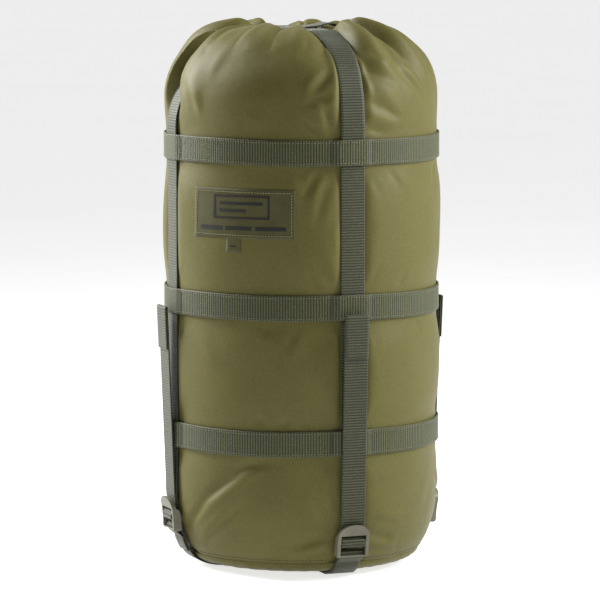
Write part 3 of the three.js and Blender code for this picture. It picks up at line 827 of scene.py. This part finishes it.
def simulate_fabric(start, held):
    """Presses the sack's filling against the fabric, which the bands, straps and hem hold."""
    rows, columns = held.shape
    faces = grid_faces(rows, columns, wrap_columns=True)
    cloth = make_object("cloth", start, faces, FABRIC)
    cloth.shape_key_add(name="Basis")
    key = cloth.shape_key_add(name="Unstretched")
    rest = start * np.array([SLACK_AROUND, SLACK_AROUND, 1.0])
    key.data.foreach_set("co", (rest.reshape(-1, 3) * MM).astype(np.float32).ravel())
    group = cloth.vertex_groups.new(name="held")
    group.add([int(i) for i in np.nonzero(held.ravel())[0]], 1.0, "REPLACE")
    modifier = cloth.modifiers.new("cloth", "CLOTH")
    settings = modifier.settings
    for setting, value in CLOTH.items():
        setattr(settings, setting, value)
    settings.vertex_group_mass = "held"
    settings.rest_shape_key = key
    settings.effector_weights.gravity = 0
    modifier.collision_settings.use_collision = False
    modifier.point_cache.frame_end = SIM_FRAMES
    for number in range(1, SIM_FRAMES + 1):
        bpy.context.scene.frame_set(number)
    evaluated = cloth.evaluated_get(bpy.context.evaluated_depsgraph_get())
    settled = np.zeros(rows * columns * 3, np.float32)
    evaluated.data.vertices.foreach_get("co", settled)
    bpy.data.objects.remove(cloth)
    bpy.context.scene.frame_set(1)
    settled = settled.reshape(rows, columns, 3).astype(float) / MM
    moved = settled - start
    length = np.linalg.norm(moved, axis=2, keepdims=True)
    return start + moved * np.minimum(1, MOST_MOVED / np.maximum(length, 1e-9))


def fabric_piece(name, points, uv, row_from, row_to, body, *replaced):
    """The rows of the fabric between two bands, closed round the sack, with the cloth's thickness."""
    rows = row_to - row_from + 1
    p = points[row_from : row_to + 1]
    p = np.concatenate([p, p[:, :1]], 1)
    t = uv[row_from : row_to + 1]
    last = t[:, :1] + np.array([2 * math.pi * SACK_R, 0])
    t = np.concatenate([t, last], 1)
    piece = make_object(name, p, grid_faces(rows, p.shape[1]), FABRIC, t)
    # the first and last columns are one line of points
    mesh = bmesh.new()
    mesh.from_mesh(piece.data)
    bmesh.ops.remove_doubles(mesh, verts=mesh.verts, dist=1e-6)
    mesh.to_mesh(piece.data)
    mesh.free()
    thicken(piece, CLOTH_T, -1)
    smooth = piece.modifiers.new("smooth", "SUBSURF")
    smooth.levels = smooth.render_levels = 1
    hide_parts(*replaced)
    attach(piece, body)
    return piece


def make_fabric():
    """The lower, middle and top pieces of the fabric."""
    start, held, uv, line = fabric_grid()
    points = simulate_fabric(start, held)
    low, high = (int(np.argmin(np.abs(line[:, 1] - z))) for z in (WALL_LOW, WALL_HIGH))
    lower = fabric_piece("fabric_lower", points, uv, 0, low, "sack", "sack_wall_lower")
    middle = fabric_piece("fabric_middle", points, uv, low, high, "sack", "sack_wall_middle")
    fabric_piece("fabric_top", points, uv, high, len(line) - 1, "top", "sack_top", "mouth_hem")
    return lower, middle


fabric_lower, fabric_middle = make_fabric()


def surface_of(piece):
    """A tree of a piece as it shows, to lay things on it."""
    bpy.context.view_layer.update()
    return BVHTree.FromObject(piece, bpy.context.evaluated_depsgraph_get())


def on_surface(tree, azimuth, z):
    """The radius where a level line towards the axis first meets a piece."""
    d = toward(azimuth)
    well_outside = 200.0
    hit = tree.ray_cast((d * well_outside + Vector((0, 0, z))) * MM, -d)
    return hit[0].xy.length / MM if hit[0] else SACK_R


def base_panel():
    """The round panel under the filling: flat on the webbing, turned up to the seam."""
    rings = [(r, BASE_Z - 0.1) for r in (0.5, 20, 40, 60, 76)]
    for i in range(8):
        a = i / 7 * math.pi / 2
        r = BASE_FLAT_R + (SEAM[0] - BASE_FLAT_R) * math.sin(a)
        rings.append((r, SEAM[1] - (SEAM[1] - BASE_Z) * math.cos(a)))
    rings.append((SEAM[0] - 0.15, SEAM[1] + 1.4))
    columns = 132
    azimuth = np.radians(np.linspace(0, 360, columns, endpoint=False))
    points = []
    for r, z in rings:
        pucker = 0.35 * np.cos(azimuth * 40 + 2 * np.sin(azimuth * 3)) * smoothstep(r, 92, 108)
        points.append(around_axis(azimuth, r, np.maximum(z + pucker * (r < SEAM[0] - 1), BASE_Z - 0.1)))
    points = np.concatenate(points)
    faces = [f[::-1] for f in grid_faces(len(rings), columns, wrap_columns=True)]
    faces.append(tuple(range(columns)))
    piece = make_object("base_cloth", points, faces, FABRIC, points[:, :2])
    thicken(piece, CLOTH_T, -1)
    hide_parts("base_panel")
    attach(piece, "sack")
    return piece


base_panel()

# ---- Straps ----
# The upper webbing of each cross climbs over the other one: distance from the axis, and rise.
CROSSING = [(-21, 0), (-14.5, LAYER), (14.5, LAYER), (21, 0)]
SLACK = {52: 0.6, 40: 2.0, 27: 5.4, 13.5: 3.0, 0: LAYER}
base_webbing("base_webbing_front_back", "front", "back", [])
base_webbing("base_webbing_left_right", "right", "left", CROSSING)
top_strap("top_strap_front_back", 0, lambda r: 0, lambda r: 0)
top_strap("top_strap_left_right", 90, lambda r: SLACK[r], lambda r: LAYER if r <= 27 else 0)

for side, (azimuth, _) in SIDES.items():
    run = [(STRAP_R, z) for z in np.linspace(WALL_LOW, WALL_HIGH, 12)]
    load = webbing_piece("load_strap_" + side, run, azimuth, hug=STRAP_R * 2)
    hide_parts("load_strap_upper_" + side)
    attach(load, "sack")
    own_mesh(load)
    lock_top = place(side, 0, 36)[1]
    lower = lower_strap(side)
    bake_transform(lower)
    end = tail(side)
    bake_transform(end)

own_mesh(fabric_middle)

BAND_BODY = {"lower": "sack", "middle": "middle_band", "upper": "top"}
band_height = {}
for number, (name, z) in enumerate(BAND_Z.items()):
    band_height[name] = band_level(z, 40 + 110 * number)
    piece = band_piece("webbing_band_" + name, band_height[name])
    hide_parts("band_" + name)
    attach(piece, BAND_BODY[name])

# ---- Thread ----
THREAD_R, SEAM_THREAD_R = 0.28, 0.42
STITCH_SHARE = 0.68  # a stitch's share of its pitch
BAND_STITCHES, SEAM_STITCHES, TACK_STITCHES = 240, 200, 15
TACK_PITCH = 1.4
TACK_OFF = (8.35, 9.5)  # degrees from a strap's middle
SEAM_THREAD_Z = 18.2


def thread_piece(name, stitches, material, body, thickness=THREAD_R):
    """Short rounded stitches, each between two points, with the direction that faces out."""
    points, faces = [], []
    around = 6
    rings = ((0, 0.35, -0.22), (0.2, 1, 0), (0.8, 1, 0), (1, 0.35, -0.22))  # share of the way, size, rise
    for a, b, out in stitches:
        a, b, out = np.array(a), np.array(b), np.array(out)
        along = b - a
        length = np.linalg.norm(along)
        along /= length
        side = np.cross(out, along)
        side /= np.linalg.norm(side)
        up = np.cross(along, side)
        first = len(points)
        for share, size, rise in rings:
            for i in range(around):
                t = 2 * math.pi * i / around
                spoke = side * math.cos(t) + up * math.sin(t)
                points.append(a + along * length * share + spoke * thickness * size + up * rise)
        faces += [tuple(first + k for k in f) for f in tube_faces(len(rings), around)]
    piece = make_object(name, points, faces, material)
    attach(piece, body)


def polar(azimuth, r, z):
    """A point at an azimuth, a distance from the axis and a height."""
    d = toward(azimuth)
    return (d.x * r, d.y * r, z)


def row_of_stitches(count, place_at):
    """Stitches round the sack, with a gap after each."""
    made = []
    for i in range(count):
        a = i * 360 / count
        to = a + STITCH_SHARE * 360 / count
        made.append((polar(a, *place_at(a)), polar(to, *place_at(to)), tuple(toward((a + to) / 2))))
    return made


def on_band(azimuth, lift):
    """How far out thread lies on a band."""
    return float(band_radius(azimuth)) + WEB_T / 2 + lift


def band_thread(name):
    """A row of stitches along both edges of a band, and a zigzag on both sides of each strap."""
    level = band_height[name]
    rows, tacks = [], []
    for edge in (-1, 1):
        inset = edge * (WEB_W / 2 - 2.4)
        rows += row_of_stitches(BAND_STITCHES, lambda at: (on_band(at, 0.08), level(at) + inset))
    thread_piece("band_stitching_" + name, rows, THREAD_BAND, BAND_BODY[name])
    for azimuth, _ in SIDES.values():
        for edge in (-1, 1):
            for i in range(TACK_STITCHES):
                z = level(azimuth) + (i - TACK_STITCHES // 2) * TACK_PITCH
                ends = [azimuth + edge * off for off in TACK_OFF]
                a0, a1 = ends[::-1] if i % 2 else ends
                foot, head = polar(a0, on_band(a0, 0.12), z), polar(a1, on_band(a1, 0.12), z + 1.1)
                tacks.append((foot, head, tuple(toward(azimuth))))
    thread_piece("band_tacks_" + name, tacks, THREAD_DARK, BAND_BODY[name])


for name in BAND_Z:
    band_thread(name)

lower_tree = surface_of(fabric_lower)


def seam_at(azimuth):
    return on_surface(lower_tree, azimuth, SEAM_THREAD_Z) + 0.15, SEAM_THREAD_Z


seam_rows = row_of_stitches(SEAM_STITCHES, seam_at)
thread_piece("base_seam_stitching", seam_rows, THREAD_DARK, "sack", thickness=SEAM_THREAD_R)

# ---- Label ----
middle_tree = surface_of(fabric_middle)
PATCH_LOW, PATCH_HIGH = box_mm("label_patch")
PATCH_Z = (PATCH_LOW[2] + PATCH_HIGH[2]) / 2
PATCH_H = PATCH_HIGH[2] - PATCH_LOW[2]
PATCH_AT = -47.0
PATCH_W = 110.0
TAB_AT, TAB_W, TAB_H = -7.0, 16.0, 14.0
ON_PATCH, ON_TAB = 1.1, 0.85  # how far print and thread stand off the sack
# Printed bars: left, right, low and high sides, from the patch's middle.
PRINT_BARS = [
    (-30, 30, 16.2, 18), (-30, 30, -5, -3.2), (-30, -28.2, -3.2, 16.2), (28.2, 30, -3.2, 16.2),
    (-23, 23, 8.6, 11.4), (-23, 6, 1.6, 4.4),
    (-46, -20, -16, -12.4), (-16, 12, -16, -12.4), (16, 46, -16, -12.4),
]


def on_patch(across_mm, up_mm, lift):
    """A point on the patch, from its middle, and how far it stands off the sack."""
    azimuth = PATCH_AT + math.degrees(across_mm / SACK_R)
    z = PATCH_Z + up_mm
    return polar(azimuth, patch_radius(azimuth, z) + lift, z)


def patch_radius(azimuth, z):
    """The fabric's radius, evened out over the patch, which is stiffer than the sack."""
    around = [on_surface(middle_tree, azimuth + da, z + dz) for da in (-2.5, 0, 2.5) for dz in (-5, 0, 5)]
    return max(sum(around) / len(around), around[4] - 0.2)


def cloth_plate(name, node, sides, heights, lift, thickness, columns, rows):
    """A piece of cloth laid on the sack, between two sides and two heights from the patch's middle."""
    (left, right), (low, high) = sides, heights
    points, uv = [], []
    for i in range(rows):
        for j in range(columns):
            u = left + (right - left) * j / (columns - 1)
            v = low + (high - low) * i / (rows - 1)
            edge = min(u - left, right - u, v - low, high - v)
            points.append(on_patch(u, v, lift - 0.35 * math.exp(-edge / 0.8)))
            uv.append((u, v))
    piece = make_object(name, points, grid_faces(rows, columns), LABEL, uv)
    thicken(piece, thickness, 1)
    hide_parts(node)
    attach(piece, "label")


def printed(name, rectangles, lift):
    """Flat printed bars."""
    points, faces = [], []
    for left, right, low, high in rectangles:
        columns = max(2, int((right - left) / 2.5) + 1)
        first = len(points)
        for v in (low, high):
            for j in range(columns):
                points.append(on_patch(left + (right - left) * j / (columns - 1), v, lift))
        faces += [tuple(first + k for k in f) for f in grid_faces(2, columns)]
    piece = make_object(name, points, faces, PRINT, smooth=False)
    thicken(piece, 0.08, 1)
    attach(piece, "label")


def make_label():
    """The patch with its border and print, and the small tab under it."""
    half_w, half_h = PATCH_W / 2, PATCH_H / 2
    cloth_plate("label_cloth", "label_patch", (-half_w, half_w), (-half_h, half_h), 0.3, 0.45, 56, 26)
    sides, heights = (TAB_AT - TAB_W / 2, TAB_AT + TAB_W / 2), (-half_h - TAB_H, -half_h + 2)
    cloth_plate("size_tab_cloth", "size_tab", sides, heights, 0.1, 0.5, 9, 8)
    printed("label_print", PRINT_BARS, ON_PATCH)
    printed("tab_print", [(TAB_AT - 3.5, TAB_AT + 3.5, -half_h - 8, -half_h - 6.8)], ON_TAB)
    inset, length = 3.6, 1.9
    stitches = []

    def stitch(u0, v0, u1, v1):
        stitches.append((on_patch(u0, v0, ON_PATCH), on_patch(u1, v1, ON_PATCH), tuple(toward(PATCH_AT))))

    for edge in (-1, 1):
        u, v = edge * (half_w - inset), edge * (half_h - inset)
        for at in np.linspace(inset - half_w, half_w - inset, 36, endpoint=False):
            stitch(at, v, at + length, v)
        for at in np.linspace(inset - half_h, half_h - inset, 14, endpoint=False):
            stitch(u, at, u, at + length)
    thread_piece("label_stitching", stitches, THREAD_LIGHT, "label")


make_label()

# ---- Hardware ----


def dress(node, material, bevel=0.0):
    """Gives a CAD node its material and slot, and softens its edges."""
    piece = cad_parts[node]
    piece.data.materials.clear()
    piece.data.materials.append(material)
    if bevel:
        rounding = piece.modifiers.new("rounding", "BEVEL")
        rounding.width = bevel * MM
        rounding.segments = 2
        rounding.limit_method = "ANGLE"
        rounding.angle_limit = math.radians(40)


for side in SIDES:
    dress("ladder_lock_" + side, LOCK_PLASTIC, 0.35)
dress("cord_lock_barrel", CORD_LOCK, 0.3)
dress("cord_lock_plunger", CORD_LOCK, 0.3)
dress("drawcord", CORD)

WIRE_R = 0.28
PRESS_AXIS = np.array([-math.sqrt(0.5), math.sqrt(0.5), 0])  # from the cord lock's bore to its plunger


def cord_lock_spring():
    """The coil in the cord lock, built at the length of its CAD box, though the real one shortens as the
    plunger goes in.
    """
    low, high = box_mm("cord_lock_spring")
    centre = (low + high) / 2
    coil_r = (high[2] - low[2]) / 2 - WIRE_R
    length = (high[0] - low[0]) / math.sqrt(0.5) - 2 * coil_r - 2 * WIRE_R
    level = np.cross(PRESS_AXIS, [0, 0, 1])
    turns, steps, sides = 4, 96, 8
    points = []
    for i in range(steps + 1):
        a = 2 * math.pi * turns * i / steps
        spoke = np.array([0, 0, math.cos(a)]) + level * math.sin(a)
        middle = centre + PRESS_AXIS * (i / steps - 0.5) * length + spoke * coil_r
        for j in range(sides):
            b = 2 * math.pi * j / sides
            points.append(middle + WIRE_R * (spoke * math.cos(b) + PRESS_AXIS * math.sin(b)))
    piece = make_object("lock_spring_wire", points, tube_faces(steps + 1, sides), STEEL)
    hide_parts("cord_lock_spring")
    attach(piece, "top")
    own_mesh(piece)


cord_lock_spring()

# ---- Floor and light ----
FLOOR_SIZE = 60.0
# Each lamp: degrees from the camera, how far out, how high and aimed how high, width, height and power.
LAMPS = {
    "left_box": (-112, 1.5, 1.2, 0.4, 0.6, 1.2, 82),
    "right_box": (84, 1.5, 1.2, 0.42, 0.5, 1.2, 56),
    "front_fill": (4, 3.0, 1.8, 0.25, 1.2, 1.2, 3),
}
WORLD_LIGHT, WORLD_SEEN = 0.24, 0.92


def make_stage():
    corners = ((-1, -1), (1, -1), (1, 1), (-1, 1))
    points = [(x * FLOOR_SIZE / MM, y * FLOOR_SIZE / MM, -0.3) for x, y in corners]
    make_object("floor", points, [(0, 1, 2, 3)], floor_material())


def floor_material():
    """A pale matt sheet, lit a little from within so that it stays pale."""
    n = Nodes("pale_floor", 0.9, specular=0.1)
    set_inputs(n.shader, Emission_Color=(1, 1, 1, 1), Emission_Strength=0.72)
    cloud = n.ramp(n.noise(1.5, 2), 0.3, 0.7)
    return n.finish(n.mix(cloud, (0.5, 0.5, 0.5, 1), (0.54, 0.54, 0.54, 1)))


def area_light(name, turn, far, up, aim_z, width, height, power):
    data = bpy.data.lights.new(name, "AREA")
    data.shape = "RECTANGLE"
    data.size = width
    data.size_y = height
    data.energy = power
    aimed(data, CAMERA_AZIMUTH + turn, far, up, Vector((0, 0, aim_z)))


def make_light():
    """The lamps, and a world whose wall is seen white while the light that comes from it is dim."""
    world = bpy.data.worlds.new("studio")
    bpy.context.scene.world = world
    world.use_nodes = True
    tree = world.node_tree
    seen = tree.nodes.new("ShaderNodeLightPath")
    mixed = tree.nodes.new("ShaderNodeMixShader")
    tree.links.new(seen.outputs["Is Camera Ray"], mixed.inputs[0])
    backgrounds = (tree.nodes["Background"], tree.nodes.new("ShaderNodeBackground"))
    for i, (node, strength) in enumerate(zip(backgrounds, (WORLD_LIGHT, WORLD_SEEN))):
        set_inputs(node, Color=(1, 1, 1, 1), Strength=strength)
        tree.links.new(node.outputs[0], mixed.inputs[1 + i])
    tree.links.new(mixed.outputs[0], tree.nodes["World Output"].inputs["Surface"])
    for name, numbers in LAMPS.items():
        area_light(name, *numbers)


make_stage()
make_light()
